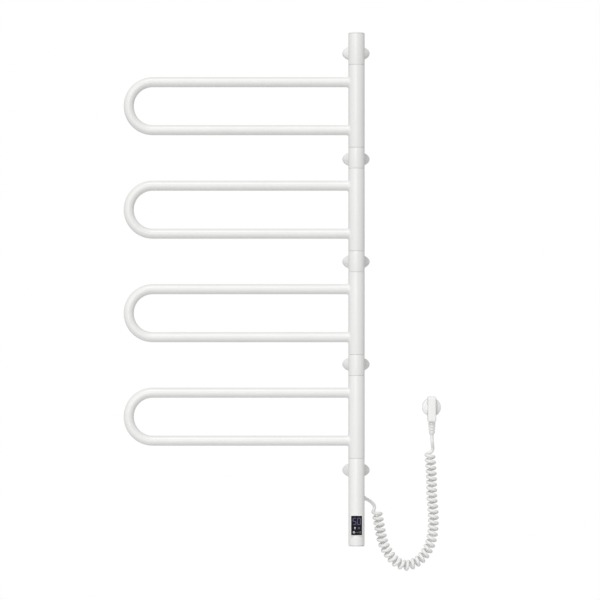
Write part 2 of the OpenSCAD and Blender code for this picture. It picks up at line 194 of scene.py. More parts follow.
def eased(points, first, last):
    """Relaxes the points between two places, fading out towards both, so that no bend is tight."""
    for _ in range(EASE_PASSES):
        moved = [p.copy() for p in points]
        for i in range(max(first, 1), min(last, len(points) - 1)):
            amount = min(1.0, (i - first) / EASE_FADE, (last - i) / EASE_FADE)
            moved[i] += 0.5 * amount * ((points[i - 1] + points[i + 1]) / 2 - points[i])
        points = moved
    return points


def cord_line():
    """The whole cord's centre line: lead, left-handed curl, tail."""
    across = Vector((0, 1, 0))
    centres, dirs = resampled(spline(CURL_ROUTE, 1.0), CURL_TURNS * POINTS_PER_TURN)
    curl = []
    for k, (c, t) in enumerate(zip(centres, dirs)):
        angle = TURN * k / POINTS_PER_TURN
        side = t.cross(across)
        curl.append(c - CURL_R * (math.cos(angle) * side + math.sin(angle) * across))
    straight = [EXIT_FOOT + d * EXIT_DIR for d in (*CORD_START, GLAND_NOSE)]
    lead = spline(straight + LEAD_ROUTE, 1.5)
    tail = spline(TAIL_ROUTE, 1.5)
    # the curl gives up a little of each end to the passages into and out of it
    curl = curl[1:-6]
    start = lead + bridge(lead, curl)
    end = bridge(curl, tail) + tail
    line = start + curl + end
    line = eased(line, 2, len(start) + EASE_FADE)
    return eased(line, len(line) - len(end) - EASE_FADE, len(line) - 2)


CORD_POINTS = cord_line()


# ---------------------------------------------------------------- mesh helpers
def fillet(corners, steps=5):
    """A closed outline with rounded corners, from (x, y, radius) rows."""
    out, n = [], len(corners)
    for i, (x, y, radius) in enumerate(corners):
        at = Vector((x, y))
        to_a = Vector(corners[i - 1][:2]) - at
        to_b = Vector(corners[(i + 1) % n][:2]) - at
        if radius <= 0:
            out.append((x, y))
            continue
        a, b = to_a.normalized(), to_b.normalized()
        half = a.angle(b) / 2
        cut = min(radius / math.tan(half), 0.49 * to_a.length, 0.49 * to_b.length)
        radius = cut * math.tan(half)
        centre = at + (a + b).normalized() * (radius / math.sin(half))
        start, end = at + a * cut - centre, at + b * cut - centre
        sweep = math.atan2(start.x * end.y - start.y * end.x, start.dot(end))
        for s in range(steps + 1):
            turn = sweep * s / steps
            c, d = math.cos(turn), math.sin(turn)
            out.append((centre.x + start.x * c - start.y * d, centre.y + start.x * d + start.y * c))
    return out


def build(name, verts, faces, sharp=35):
    """A watertight smooth-shaded mesh object from millimetre vertices."""
    bm = bmesh.new()
    made = [bm.verts.new([c * MM for c in v]) for v in verts]
    for f in faces:
        bm.faces.new([made[i] for i in f])
    bmesh.ops.recalc_face_normals(bm, faces=bm.faces)
    mesh = bpy.data.meshes.new(name)
    bm.to_mesh(mesh)
    bm.free()
    shade(mesh, sharp)
    obj = bpy.data.objects.new(name, mesh)
    bpy.context.collection.objects.link(obj)
    return obj


def shade(mesh, sharp=35):
    mesh.polygons.foreach_set("use_smooth", [True] * len(mesh.polygons))
    mesh.set_sharp_from_angle(angle=math.radians(sharp))
    mesh.update()


def loft_data(rings, looped=False):
    """Vertices and faces of a skin over rings of equal size; its two ends are closed by caps,
    or joined to each other where it is looped."""
    n = len(rings[0])
    verts = [v for ring in rings for v in ring]
    last = len(rings) if looped else len(rings) - 1
    faces = []
    for i in range(last):
        a, b = i * n, (i + 1) % len(rings) * n
        faces += [(a + k, a + (k + 1) % n, b + (k + 1) % n, b + k) for k in range(n)]
    if not looped:
        faces.append(tuple(range(n)))
        faces.append(tuple(range((len(rings) - 1) * n, len(rings) * n)))
    return verts, faces


def loft(name, rings, looped=False, sharp=35):
    return build(name, *loft_data(rings, looped), sharp=sharp)


def joined(name, parts, sharp=35):
    """One object from several (verts, faces) skins."""
    verts, faces = [], []
    for v, f in parts:
        base = len(verts)
        verts += v
        faces += [tuple(base + i for i in face) for face in f]
    return build(name, verts, faces, sharp)


def lathe_rings(profile, place, segments):
    """Rings of a turned shape: profile rows are (radius, along), place maps (u, v, along)."""
    return [
        [place(r * math.cos(TURN * k / segments), r * math.sin(TURN * k / segments), h)
         for k in range(segments)]
        for r, h in profile
    ]


def upright(x, y):
    """Places a turned shape on a vertical axis."""
    return lambda u, v, h: (x + u, y + v, h)


def towards_wall(x, z):
    """Places a turned shape on an axis along Y."""
    return lambda u, v, h: (x + u, h, z + v)


def along_exit(u, v, h):
    """Places a turned shape on the cord's exit line."""
    side = Vector((-math.sin(EXIT_TURN), math.cos(EXIT_TURN), 0))
    up = EXIT_DIR.cross(side)
    return tuple(EXIT_FOOT + u * side + v * up + h * EXIT_DIR)


COLUMN_SIDES = 128
RIM_OUTSIDE = 0.14
RIM_INSIDE = 0.2


def tube(name, r_out, r_in, z0, z1):
    """An upright open tube on the column's axis with softened rims."""
    profile = fillet([(r_in, z0, RIM_INSIDE), (r_out, z0, RIM_OUTSIDE),
                      (r_out, z1, RIM_OUTSIDE), (r_in, z1, RIM_INSIDE)])
    return loft(name, lathe_rings(profile, upright(0, AXIS_Y), COLUMN_SIDES), looped=True)


def cut(piece, cutter):
    """Cuts one mesh out of another for good."""
    tool = piece.modifiers.new("cut", "BOOLEAN")
    tool.operation = "DIFFERENCE"
    tool.solver = "EXACT"
    tool.object = cutter
    graph = bpy.context.evaluated_depsgraph_get()
    mesh = bpy.data.meshes.new_from_object(piece.evaluated_get(graph))
    piece.modifiers.clear()
    piece.data = mesh
    shade(mesh)
    bpy.data.objects.remove(cutter)


def finish_piece(piece, body, material, nodes):
    """Gives a piece its finish and its body, and hides the CAD nodes that it stands for."""
    piece.data.materials.clear()
    piece.data.materials.append(material)
    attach(piece, body)
    if nodes:
        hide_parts(*nodes)
    return piece


# ---------------------------------------------------------------- materials
class Nodes:
    """A small helper round a material's node tree."""

    def __init__(self, name):
        self.material = bpy.data.materials.new(name)
        self.material.use_nodes = True
        self.tree = self.material.node_tree
        self.shader = self.tree.nodes["Principled BSDF"]
        self.coords = self.add("ShaderNodeTexCoord").outputs["Object"]

    def add(self, kind, **values):
        node = self.tree.nodes.new(kind)
        for key, value in values.items():
            if key in node.inputs:
                node.inputs[key].default_value = value
            else:
                setattr(node, key, value)
        return node

    def link(self, a, b):
        self.tree.links.new(a, b)

    def set(self, **values):
        for key, value in values.items():
            self.shader.inputs[key.replace("_", " ")].default_value = value

    def noise(self, scale, detail=3.0, roughness=0.5, stretch=None):
        """Noise over the object, with scale in waves per metre."""
        node = self.add("ShaderNodeTexNoise", Scale=scale, Detail=detail, Roughness=roughness)
        source = self.coords
        if stretch:
            mapping = self.add("ShaderNodeMapping")
            mapping.inputs["Scale"].default_value = stretch
            self.link(source, mapping.inputs["Vector"])
            source = mapping.outputs["Vector"]
        self.link(source, node.inputs["Vector"])
        return node.outputs["Fac"]

    def ramp(self, source, stops):
        node = self.add("ShaderNodeValToRGB")
        ramp = node.color_ramp
        while len(ramp.elements) < len(stops):
            ramp.elements.new(0.5)
        for element, (at, colour) in zip(ramp.elements, stops):
            element.position = at
            element.color = (*colour, 1)
        self.link(source, node.inputs["Fac"])
        return node.outputs["Color"]

    def span(self, source, low, high):
        """The source's 0.3 to 0.7 mapped to low to high."""
        node = self.add("ShaderNodeMapRange")
        for key, value in (("From Min", 0.3), ("From Max", 0.7), ("To Min", low), ("To Max", high)):
            node.inputs[key].default_value = value
        self.link(source, node.inputs["Value"])
        return node.outputs["Result"]

    def colour(self, source, stops):
        self.link(self.ramp(source, stops), self.shader.inputs["Base Color"])

    def roughness(self, source, low, high):
        self.link(self.span(source, low, high), self.shader.inputs["Roughness"])

    def bump(self, layers):
        """Layers are (height source, distance in millimetres, strength)."""
        normal = None
        for source, distance, strength in layers:
            node = self.add("ShaderNodeBump", Strength=strength, Distance=distance * MM)
            self.link(source, node.inputs["Height"])
            if normal is not None:
                self.link(normal, node.inputs["Normal"])
            normal = node.outputs["Normal"]
        self.link(normal, self.shader.inputs["Normal"])


def grey(v, warm=0.0):
    return (v + warm, v, v - warm)


def powder_coat():
    """White satin powder coat: a fine orange peel under a thin clear skin."""
    n = Nodes("white_powder_coat")
    n.set(IOR=1.5, Coat_Weight=0.12, Coat_Roughness=0.22)
    cloud = n.noise(14, 2)
    peel = n.noise(850, 2, 0.55)
    speck = n.noise(3600, 1, 0.5)
    n.colour(cloud, [(0.35, (0.855, 0.857, 0.838)), (0.65, (0.872, 0.874, 0.856))])
    n.roughness(peel, 0.34, 0.44)
    n.bump([(peel, 0.035, 0.5), (speck, 0.006, 0.35)])
    return n.material


def moulded(name, dark, light, rough, grain=1400, depth=0.012):
    """White moulded plastic with a fine spark-eroded grain and faint cloudiness."""
    n = Nodes(name)
    n.set(IOR=1.46)
    n.colour(n.noise(30, 2), [(0.35, dark), (0.65, light)])
    fine = n.noise(grain, 2, 0.6)
    n.roughness(fine, rough - 0.04, rough + 0.05)
    n.bump([(fine, depth, 0.6)])
    return n.material


def soft_pvc():
    """The cord's soft PVC: a smooth skin with a fine grain, faintly mottled."""
    n = Nodes("soft_white_pvc")
    n.set(IOR=1.52, Coat_Weight=0.1, Coat_Roughness=0.3)
    n.colour(n.noise(45, 2), [(0.35, (0.83, 0.833, 0.82)), (0.65, (0.86, 0.862, 0.85))])
    skin = n.noise(700, 2, 0.5)
    n.roughness(skin, 0.42, 0.52)
    n.bump([(skin, 0.008, 0.5)])
    return n.material


def touch_glass():
    """Gloss black touch glass with the faintest smear of use."""
    n = Nodes("black_touch_glass")
    n.set(IOR=1.5, Specular_IOR_Level=0.33)
    smear = n.noise(160, 3, 0.6, (1, 1, 0.4))
    n.colour(smear, [(0.3, (0.0035, 0.0035, 0.0065)), (0.7, (0.006, 0.006, 0.0105))])
    n.roughness(smear, 0.05, 0.13)
    n.bump([(n.noise(60, 1), 0.01, 0.2)])
    return n.material


def glowing(name, colour):
    """A lit mark behind the glass, slightly uneven as an LED's light guide is."""
    n = Nodes(name)
    n.set(Roughness=0.2, Specular_IOR_Level=0.4, Emission_Strength=1.0)
    uneven = n.noise(420, 1)
    low = tuple(0.8 * c for c in colour)
    unlit = [tuple(share * c for c in colour) for share in (0.03, 0.05)]
    n.colour(uneven, [(0.3, unlit[0]), (0.7, unlit[1])])
    n.link(n.ramp(uneven, [(0.3, low), (0.7, colour)]), n.shader.inputs["Emission Color"])
    return n.material


def metal(name, dark, light, rough, brushed=(1, 1, 1), grain=500):
    """Plated metal with drawn marks and small changes of tone."""
    n = Nodes(name)
    n.set(Metallic=1.0)
    marks = n.noise(grain, 4, 0.6, brushed)
    n.colour(n.noise(70, 3), [(0.3, dark), (0.7, light)])
    n.roughness(marks, rough - 0.06, rough + 0.08)
    n.bump([(marks, 0.012, 0.4)])
    return n.material


def circuit():
    """Green solder mask with tracks and pads showing through."""
    n = Nodes("green_circuit_board")
    n.set(IOR=1.5, Coat_Weight=0.3, Coat_Roughness=0.15)
    tracks = n.add("ShaderNodeTexBrick", Scale=260, offset=0.5)
    tracks.inputs["Mortar Size"].default_value = 0.06
    tracks.inputs["Color1"].default_value = (0.018, 0.12, 0.04, 1)
    tracks.inputs["Color2"].default_value = (0.024, 0.15, 0.05, 1)
    tracks.inputs["Mortar"].default_value = (0.06, 0.27, 0.1, 1)
    n.link(n.coords, tracks.inputs["Vector"])
    n.link(tracks.outputs["Color"], n.shader.inputs["Base Color"])
    n.roughness(n.noise(400, 2), 0.3, 0.42)
    n.bump([(tracks.outputs["Fac"], 0.04, 0.5)])
    return n.material


POWDER = powder_coat()
CAP_PLASTIC = moulded("white_cap_plastic", grey(0.89, 0.003), grey(0.91, 0.003), 0.38)
# The rosette covers' white plastic is greyer than the caps' and the bezel's: painted shade for the
# shadow and occlusion the covers sit in against the wall.
SHADE_DARKENED_COVER_PLASTIC = moulded("white_cover_plastic_painted_shade", grey(0.83, 0.003), grey(0.855, 0.003), 0.42)
BEZEL_PLASTIC = moulded("white_bezel_plastic", grey(0.9, 0.002), grey(0.92, 0.002), 0.3,
                        1800, 0.006)
PLUG_PLASTIC = moulded("white_plug_plastic", grey(0.88, 0.003), grey(0.9, 0.003), 0.4, 1100, 0.02)
NYLON = moulded("white_nylon", grey(0.8, 0.008), grey(0.84, 0.008), 0.5, 900, 0.02)
BLACK_PLASTIC = moulded("black_relay_plastic", grey(0.012), grey(0.02), 0.45, 1200, 0.02)
SHEATH = moulded("cable_sheath", grey(0.5, 0.006), grey(0.57, 0.006), 0.55, 700, 0.03)
PVC = soft_pvc()
GLASS = touch_glass()
ZINC = metal("zinc_plated_steel", (0.5, 0.52, 0.55), (0.66, 0.67, 0.69), 0.36, (1, 1, 0.15))
NICKEL = metal("nickel_plate", (0.66, 0.64, 0.6), (0.76, 0.74, 0.7), 0.2, (1, 0.2, 1), 700)
BOARD = circuit()
DIGIT_GLOW = glowing("digit_glow", (0.155, 0.148, 0.27))
ICON_GLOW = glowing("icon_glow", (0.72, 0.72, 0.76))
ICON_DIM = glowing("icon_dim", (0.22, 0.22, 0.24))


# ---------------------------------------------------------------- supply cord
def make_cord():
    data = bpy.data.curves.new("supply_cord", "CURVE")
    data.dimensions = "3D"
    data.bevel_depth = CORD_D / 2 * MM
    data.bevel_resolution = 5
    data.use_fill_caps = True
    line = data.splines.new("POLY")
    line.points.add(len(CORD_POINTS) - 1)
    for point, at in zip(line.points, CORD_POINTS):
        point.co = (*(at * MM), 1)
    line.use_smooth = True
    cord = bpy.data.objects.new("supply_cord", data)
    bpy.context.collection.objects.link(cord)
    return finish_piece(cord, "column", PVC, ["cord_lead", "cord_curl", "cord_tail"])


supply_cord = make_cord()


# ---------------------------------------------------------------- plug
PLUG_X = (box_mm("plug_body")[0].x + box_mm("plug_body")[1].x) / 2
PLUG_FACE = box_mm("plug_body")[1].y
PLUG_R = (box_mm("plug_body")[1].x - box_mm("plug_body")[0].x) / 2
pins_lo, pins_hi = box_mm("plug_pins")
PLUG_Z = (pins_lo.z + pins_hi.z) / 2
GRIP_FRONT = box_mm("plug_body")[0].y
GRIP_TOP = box_mm("plug_body")[1].z - PLUG_Z
GRIP_BOTTOM = box_mm("plug_body")[0].z - PLUG_Z
GRIP_HALF = 8.5
GRIP_CORNER = 2.1
GRIP_CORNER_LEAST = 0.9
RIM_BACK = PLUG_FACE - 17
RELIEF_Y = -20.0
PIN_X = 9.5
PLUG_SIDES = 144
# The disc is this small where only the grip shows
GRIP_CORE = 0.5


def grip_radius(angle, inset):
    """Distance from the pin axis to the grip's rounded outline, seen from the front."""
    half_w = GRIP_HALF - inset
    mid = (GRIP_TOP + GRIP_BOTTOM) / 2
    half_h = (GRIP_TOP - GRIP_BOTTOM) / 2 - inset
    dx, dz = math.cos(angle), math.sin(angle)
    corner = max(GRIP_CORNER - inset, GRIP_CORNER_LEAST)

    def outside(r):
        x, z = abs(r * dx) - (half_w - corner), abs(r * dz - mid) - (half_h - corner)
        return math.hypot(max(x, 0), max(z, 0)) + min(max(x, z), 0) - corner

    lo, hi = 0.0, 60.0
    for _ in range(40):
        r = (lo + hi) / 2
        lo, hi = (r, hi) if outside(r) < 0 else (lo, r)
    return lo


def smooth_max(a, b, width):
    """The larger of two values, blended where they are less than width apart."""
    h = max(width - abs(a - b), 0) / width
    return max(a, b) + h * h * width / 4


GRIP_BLEND = 1.2
# The guide notches at the plug's sides and the earth grooves at its top and bottom
SIDE_NOTCH_DEPTH, SIDE_NOTCH_HALF = 2.3, 2.5
EARTH_NOTCH_DEPTH, EARTH_NOTCH_HALF = 2.0, 3.5
NOTCH_FLANK = 0.7


def plug_ring(y, disc_r, inset=None, notched=False):
    """One outline of the moulding: a disc, merged with the grip where an inset is given."""
    ring = []
    for k in range(PLUG_SIDES):
        angle = TURN * k / PLUG_SIDES
        r = disc_r
        if notched:
            from_middle = min(abs(math.sin(angle)), abs(math.cos(angle))) * disc_r
            at_side = abs(math.cos(angle)) > 0.7
            depth = SIDE_NOTCH_DEPTH if at_side else EARTH_NOTCH_DEPTH
            half = SIDE_NOTCH_HALF if at_side else EARTH_NOTCH_HALF
            edge = min(max((half + NOTCH_FLANK / 2 - from_middle) / NOTCH_FLANK, 0), 1)
            r -= depth * edge
        if inset is not None:
            r = smooth_max(r, grip_radius(angle, inset), GRIP_BLEND)
        ring.append((PLUG_X + r * math.cos(angle), y, PLUG_Z + r * math.sin(angle)))
    return ring


def make_plug():
    """The moulding, ring by ring from its face in the socket out to the front of its grip."""
    rings = [plug_ring(PLUG_FACE, 5)]
    rings += [plug_ring(PLUG_FACE - back, PLUG_R - inward, notched=True)
              for back, inward in ((0, 1.1), (0.1, 0.7), (0.4, 0.25), (0.9, 0), (14.4, 0))]
    rings += [plug_ring(PLUG_FACE - back, PLUG_R - inward)
              for back, inward in ((14.6, 0.0), (15.6, 0.1))]
    # the shoulder: a rounded rim, then a slope up to the grip
    rings += [plug_ring(RIM_BACK - out, PLUG_R - inward, inset)
              for out, inward, inset in (
                  (0.0, 0.35, 1.3), (0.5, 0.8, 0.5), (1.2, 1.9, 0.12), (2.2, 4.2, 0),
                  (3.2, 7.2, 0), (4.2, 10.5, 0), (5.4, 13.2, 0))]
    # the grip's straight sides, which start within the shoulder, then its crown, counted back
    # from the front
    rings += [plug_ring(RIM_BACK - out, GRIP_CORE, inset) for out, inset in ((2.6, 0), (7, 0.05))]
    rings += [plug_ring(GRIP_FRONT + back, GRIP_CORE, inset)
              for back, inset in (
                  (3.2, 0.1), (2.3, 0.25), (1.5, 0.55), (0.85, 1.0), (0.38, 1.65),
                  (0.1, 2.5), (0, 3.8))]
    body = loft("plug_moulding", rings, sharp=40)
    return finish_piece(body, "column", PLUG_PLASTIC, ["plug_body"])


# Each rib's top, bottom, and radius at both, with heights counted from the plug's lower end
RELIEF_RIBS = ((-1.6, -5.6, 7.2, 7.1), (-7.2, -11.3, 7.0, 6.7), (-12.9, -17.0, 6.6, 6.4))
RELIEF_GROOVE = 1.8


def make_relief():
    """The plug's ribbed strain relief, tapering down to the cord."""
    top = box_mm("plug_body")[0].z
    rows = [(4.8, 5, 0)]
    for z0, z1, r0, r1 in RELIEF_RIBS:
        rows += [(r0 - RELIEF_GROOVE, z0 + 0.1, 0.3), (r0, z0, 0.6),
                 (r1, z1, 0.6), (r1 - RELIEF_GROOVE, z1 - 0.1, 0.3)]
    # the taper, and the hollow in its end that the cord comes out of
    rows += [(4.5, -18.2, 0.3), (6.3, -18.3, 0.6), (5.9, -21.4, 0.8), (4.4, -25.4, 0.5),
             (3.35, -25.4, 0.1), (3.35, -21.6, 0), (2.0, -21.6, 0)]
    profile = [(0.2, 5.0)] + fillet(rows, 3) + [(0.2, -21.6)]
    rings = lathe_rings([(r, top + h) for r, h in profile], upright(PLUG_X, RELIEF_Y), 72)
    relief = loft("plug_strain_relief", rings, sharp=40)
    return finish_piece(relief, "column", PVC, ["plug_relief"])


def make_pins():
    """Two round pins with a step at the moulding's face and a rounded tip."""
    tip = pins_hi.y
    root = [(0.05, -6), (1.8, -6), (1.8, -0.4), (2.1, -0.1), (2.4, 0.2)]
    end = [(2.4, 2.2), (2.3, 1.3), (2.0, 0.6), (1.5, 0.15), (0.9, 0), (0.05, 0)]
    profile = [(r, PLUG_FACE + y) for r, y in root] + [(r, tip - y) for r, y in end]
    parts = [loft_data(lathe_rings(profile, towards_wall(PLUG_X + side * PIN_X, PLUG_Z), 40))
             for side in (-1, 1)]
    pins = joined("plug_contact_pins", parts)
    return finish_piece(pins, "column", NICKEL, ["plug_pins"])


def make_earth():
    """Two sprung strips in the rim's top and bottom grooves."""
    lo, hi = box_mm("earth_contacts")
    foot = (hi.z - lo.z) / 2 - 1.1
    bulge, half_width, half_thick, corner = 0.75, 2.9, 0.35, 0.25
    stations = 16
    parts = []
    for side in (-1, 1):
        rings = []
        for s in range(stations + 1):
            f = s / stations
            y = hi.y - 0.2 + (lo.y - hi.y + 0.4) * f
            lift = foot + bulge * math.sin(math.pi * f) ** 2
            w = half_width - 0.5 * abs(2 * f - 1) ** 4
            outline = fillet([(-w, -half_thick, corner), (w, -half_thick, corner),
                              (w, half_thick, corner), (-w, half_thick, corner)], 3)
            rings.append([(PLUG_X + u, y, PLUG_Z + side * (lift + v)) for u, v in outline])
        parts.append(loft_data(rings))
    strips = joined("earth_spring_strips", parts)
    return finish_piece(strips, "column", NICKEL, ["earth_contacts"])


plug_pieces = [make_plug(), make_relief(), make_pins(), make_earth()]


# ---------------------------------------------------------------- cord gland
GLAND_BORE = 3.4
GLAND_ROOT_R, GLAND_NOSE_R = 5.2, 4.2
GLAND_FLANGE_R, GLAND_FLANGE = 6.8, (9, 12)
GLAND_GROOVES = (22.5, 26.5, 30.5)


def make_gland():
    """The tapered relief at the housing, with a flange inside the tube and flex grooves."""
    slope = (GLAND_ROOT_R - GLAND_NOSE_R) / (GLAND_NOSE - GLAND_SHOULDER)
    inner, outer = GLAND_FLANGE
    rows = [(GLAND_BORE, inner, 0), (GLAND_FLANGE_R, inner, 0.3), (GLAND_FLANGE_R, outer, 0.3),
            (GLAND_ROOT_R, outer, 0), (GLAND_ROOT_R, GLAND_SHOULDER, 0.3)]
    for at in GLAND_GROOVES:
        r = GLAND_ROOT_R - slope * (at - GLAND_SHOULDER)
        rows += [(r, at, 0.3), (r - 0.75, at + 0.2, 0.2),
                 (r - 0.8, at + 1.2, 0.2), (r - slope, at + 1.4, 0.3)]
    rows += [(GLAND_NOSE_R, GLAND_NOSE, 0.55), (GLAND_BORE, GLAND_NOSE, 0.1)]
    rings = lathe_rings(fillet(rows, 3), along_exit, 64)
    gland = loft("cord_exit_relief", rings, looped=True, sharp=40)
    return finish_piece(gland, "column", CAP_PLASTIC, ["cord_gland"])


make_gland()


# ---------------------------------------------------------------- column tubes and caps
for i in range(1, 5):
    lo, hi = box_mm(f"sleeve_{i}")
    piece = tube(f"arm_sleeve_{i}", SLEEVE_R, SLEEVE_R - TUBE_WALL, lo.z, hi.z)
    finish_piece(piece, f"arm_{i}", POWDER, [f"sleeve_{i}"])

for i in range(1, 4):
    lo, hi = box_mm(f"collar_{i}")
    piece = tube(f"fixed_collar_{i}", COLLAR_R, mast_hi.x + 0.03, lo.z, hi.z)
    finish_piece(piece, "column", POWDER, [f"collar_{i}"])

lo, hi = box_mm("top_tube")
finish_piece(
    tube("top_column_tube", SLEEVE_R, SLEEVE_R - TUBE_WALL, lo.z, hi.z),
    "column", POWDER, ["top_tube"],
)


def rounded_rectangle(width, height, corner, per_corner=8):
    """An outline in (x, z) that starts at the lower right corner and runs anticlockwise."""
    out = []
    for sx, sz, start in ((1, -1, -0.25), (1, 1, 0), (-1, 1, 0.25), (-1, -1, 0.5)):
        cx, cz = sx * (width / 2 - corner), sz * (height / 2 - corner)
        for s in range(per_corner + 1):
            angle = TURN * (start + 0.25 * s / per_corner)
            out.append((cx + corner * math.cos(angle), cz + corner * math.sin(angle)))
    return out


bezel_lo, bezel_hi = box_mm("display_bezel")
glass_lo, glass_hi = box_mm("display_glass")
DISPLAY_Z = (bezel_lo.z + bezel_hi.z) / 2
BEZEL_W, BEZEL_H = bezel_hi.x - bezel_lo.x, bezel_hi.z - bezel_lo.z
GLASS_W, GLASS_H = glass_hi.x - glass_lo.x, glass_hi.z - glass_lo.z
NECK_W, NECK_H = 18.8, 39.7
BEZEL_BACK = 10.6
PORT_R = 5.3


def make_housing():
    """The lower tube, with the display's window and the cord's slanted port cut through it."""
    lo, hi = box_mm("control_housing")
    housing = tube("control_column_tube", HOUSING_R, HOUSING_R - TUBE_WALL, lo.z, hi.z)
    outline = rounded_rectangle(NECK_W + 0.2, NECK_H + 0.2, 0.5)
    window = [[(x, AXIS_Y - depth, DISPLAY_Z + z) for x, z in outline]
              for depth in (2, HOUSING_R + 2)]
    cut(housing, loft("window_cutter", window))
    port = lathe_rings([(PORT_R, 4), (PORT_R, 30)], along_exit, 64)
    cut(housing, loft("port_cutter", port))
    return finish_piece(housing, "column", POWDER, ["control_housing"])


make_housing()


CAP_CROWN = 3.2
CAP_SPIGOT = 8
CAP_WEB = 7


def make_cap(name, node, tube_r, side, gap, edge, up):
    """A push-in cap on a hollow spigot: its crown has a straight side that starts a gap away
    from the tube, a rounded edge, and a dome. Heights are counted from the dome's tip."""
    lo, hi = box_mm(node)
    tip = hi.z if up else lo.z
    way = 1 if up else -1
    r_crown, spigot = tube_r - 0.5, tube_r - TUBE_WALL - 0.05
    dome = CAP_CROWN - side
    web, end = CAP_CROWN + CAP_WEB, CAP_CROWN + CAP_SPIGOT
    rows = [(0.05, web, 0), (spigot - 1.5, web, 0.3), (spigot - 1.5, end, 0.2),
            (spigot, end, 0.4), (spigot, CAP_CROWN - gap, 0.1), (r_crown, CAP_CROWN - gap, 0.12),
            (r_crown, dome, edge), (r_crown * 0.9, dome * 0.81, 0.6)]
    profile = fillet(rows, 5)
    profile += [(r_crown * f, dome * f * f) for f in (0.8, 0.7, 0.6, 0.45, 0.3, 0.15)]
    profile.append((0.05, 0))
    rings = lathe_rings([(r, tip - way * h) for r, h in profile], upright(0, AXIS_Y), COLUMN_SIDES)
    cap = loft(name, rings, sharp=40)
    return finish_piece(cap, "column", CAP_PLASTIC, [node])


make_cap("top_end_cap", "top_cap", SLEEVE_R, side=1.6, gap=0.5, edge=0.35, up=True)
make_cap("bottom_end_cap", "bottom_cap", HOUSING_R, side=2.6, gap=0.8, edge=0.8, up=False)


# ---------------------------------------------------------------- arms
# The weld bead as (distance from the sleeve, how far it stands proud of the arm's tube)
WELD = ((0, 2.4), (0.15, 1.9), (0.5, 1.35), (1.0, 0.85), (1.7, 0.4), (2.6, 0.12), (3.6, 0))
ROD_SIDES = 56


def make_arm(i):
    """A hollow hairpin tube, saddle-cut to the sleeve, with a coated weld bead at each end."""
    lo, hi = box_mm(f"arm_tube_{i}")
    mid_z = (lo.z + hi.z) / 2
    bend = (hi.z - lo.z) / 2 - ARM_R
    bend_x = lo.x + bend + ARM_R
    start_x = -SLEEVE_R - 4.5
    phis = [TURN * k / ROD_SIDES for k in range(ROD_SIDES)]

    def at(x, side, phi, r):
        return (x, AXIS_Y + r * math.cos(phi), mid_z + side * (bend + r * math.sin(phi)))

    def saddle(side, r, gap, proud):
        """The end of a leg against the sleeve; a bead's ripple grows with the bead."""
        ring = []
        for phi in phis:
            ripple = 1 + 0.09 * math.sin(9 * phi + i) + 0.06 * math.sin(17 * phi + 2 * side)
            rr = r + proud * ripple
            reach = math.sqrt(SLEEVE_R ** 2 - (rr * math.cos(phi)) ** 2)
            ring.append(at(-reach - SEAT_GAP - gap * ripple, side, phi, rr))
        return ring

    def run(side, r):
        """A leg's straight rings, from the bead out to the bend."""
        stations = 8
        return [[at(start_x + (bend_x - start_x) * s / stations, side, phi, r) for phi in phis]
                for s in range(stations)]

    def turn(r):
        """The half turn from the upper leg to the lower one."""
        stations = 48
        rings = []
        for s in range(stations + 1):
            b = math.pi * s / stations
            rings.append([(bend_x - (bend + r * math.sin(phi)) * math.sin(b),
                           AXIS_Y + r * math.cos(phi),
                           mid_z + (bend + r * math.sin(phi)) * math.cos(b)) for phi in phis])
        return rings

    def skin(r, bead):
        """One skin of the tube from the upper leg's end round to the lower leg's."""
        return ([saddle(1, r, gap, proud) for gap, proud in bead] + run(1, r) + turn(r)
                + run(-1, r)[::-1] + [saddle(-1, r, gap, proud) for gap, proud in bead[::-1]])

    outside = skin(ARM_R, WELD)
    inside = skin(ARM_R - ARM_WALL, ((0, 0),))
    arm = loft(f"arm_hairpin_{i}", outside + inside[::-1], looped=True, sharp=50)
    return finish_piece(arm, f"arm_{i}", POWDER, [f"arm_tube_{i}"])


for i in range(1, 5):
    make_arm(i)


# ---------------------------------------------------------------- brackets
def oval(a, b, y, z, count=96):
    angles = [TURN * k / count for k in range(count)]
    return [(a * math.cos(angle), y, z + b * math.sin(angle)) for angle in angles]


def make_rosette(i):
    """A thin oval cover: straight rim, soft shoulder and a slight crown up to the post."""
    lo, hi = box_mm(f"rosette_{i}")
    a, b, deep = hi.x, (hi.z - lo.z) / 2, -lo.y
    z = (lo.z + hi.z) / 2
    hole = POST_R + 0.12
    shoulder, rise, rim, wall = 5.2, 6.2, 3.6, 1.4

    def skin(inward):
        """The cover's outside, or with inward set its inside, from the wall to the post's hole."""
        rings = [oval(a - inward, b - inward, -0.05 if inward == 0 else 0, z),
                 oval(a - inward, b - inward, -rim, z)]
        width = shoulder - inward * 0.4
        steps = 8
        for s in range(1, steps + 1):
            q = math.pi / 2 * s / steps
            inset = inward + width * (1 - math.cos(q))
            rings.append(oval(a - inset, b - inset, -rim - (rise - inward) * math.sin(q), z))
        top = rim + rise - inward
        inset = inward + width
        steps = 6
        for s in range(1, steps + 1):
            f = s / steps
            wa, wb = (a - inset) * (1 - f) + hole * f, (b - inset) * (1 - f) + hole * f
            rings.append(oval(wa, wb, -top - (deep - rim - rise) * math.sin(math.pi / 2 * f), z))
        return rings

    shell = loft(f"oval_rosette_{i}", skin(0) + skin(wall)[::-1], looped=True, sharp=45)
    # The cover's greyer plastic is painted shade, standing in for the shadow it sits in against the
    # wall.
    return finish_piece(shell, "column", SHADE_DARKENED_COVER_PLASTIC, [f"rosette_{i}"])


# The radius of the column at each bracket, from the top one down
BRACKET_R = (SLEEVE_R, COLLAR_R, COLLAR_R, COLLAR_R, HOUSING_R)
# The root bead as (distance from the column, how far it stands proud of the post)
POST_BEAD = ((2.2, 0), (1.2, 0.12), (0.6, 0.4), (0.2, 0.8), (0, 1.1))


